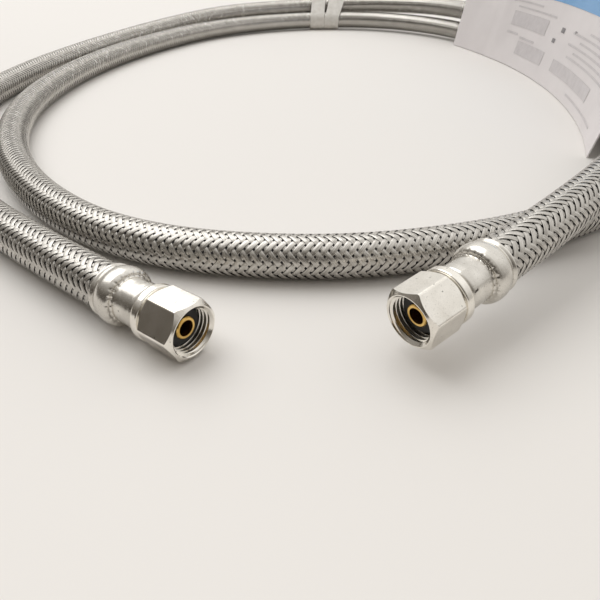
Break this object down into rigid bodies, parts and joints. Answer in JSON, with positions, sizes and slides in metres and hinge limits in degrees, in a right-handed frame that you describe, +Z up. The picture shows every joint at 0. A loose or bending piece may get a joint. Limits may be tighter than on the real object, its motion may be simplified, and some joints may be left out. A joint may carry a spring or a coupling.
{
  "type": "braided supply line",
  "caption": "Stainless braided water supply hose in a loose coil, with a swivel hexagonal compression nut on each end, a tie band and a folded label card.",
  "frame": {"origin": "on the surface the line lies on, under the middle of the two end fittings' bounding box", "axes": "+Z up; the coil lies behind the fittings along +Y; the two mouths face forwards, -Y, and towards each other across X"},
  "size_m": [0.3155, 0.4369, 0.0585],
  "materials": {
    "nickel": "bright nickel plate",
    "brass": "turned",
    "rubber": "matte",
    "stainless": "satin",
    "hose_liner": "satin",
    "braid": "woven wire",
    "white_plastic": "matte",
    "card": "matte printed card"
  },
  "bodies": {
    "line": {"left_insert": "brass", "left_washer": "rubber", "left_ferrule": "stainless", "right_insert": "brass", "right_washer": "rubber", "right_ferrule": "stainless", "inner_tube": "hose_liner", "braid_left_end": "braid", "braid_outer_left": "braid", "braid_back_upper": "braid", "braid_right_upper": "braid", "braid_front": "braid", "braid_inner_left": "braid", "braid_back_lower": "braid", "braid_right_lower": "braid", "braid_right_end": "braid", "tie_band": "white_plastic", "label_card": "card"},
    "left_swivel": {"left_nut": "nickel"},
    "right_swivel": {"right_nut": "nickel"}
  },
  "joints": [
    {"name": "left_nut_spin", "type": "hinge", "parent": "line", "child": "left_swivel", "pos_m": [-0.02154, -0.00705, 0.0071], "axis": [0.7986, -0.6018, 0], "continuous": true},
    {"name": "right_nut_spin", "type": "hinge", "parent": "line", "child": "right_swivel", "pos_m": [0.02186, -0.00902, 0.0113], "axis": [-0.7813, -0.6104, -0.1305], "continuous": true}
  ]
}
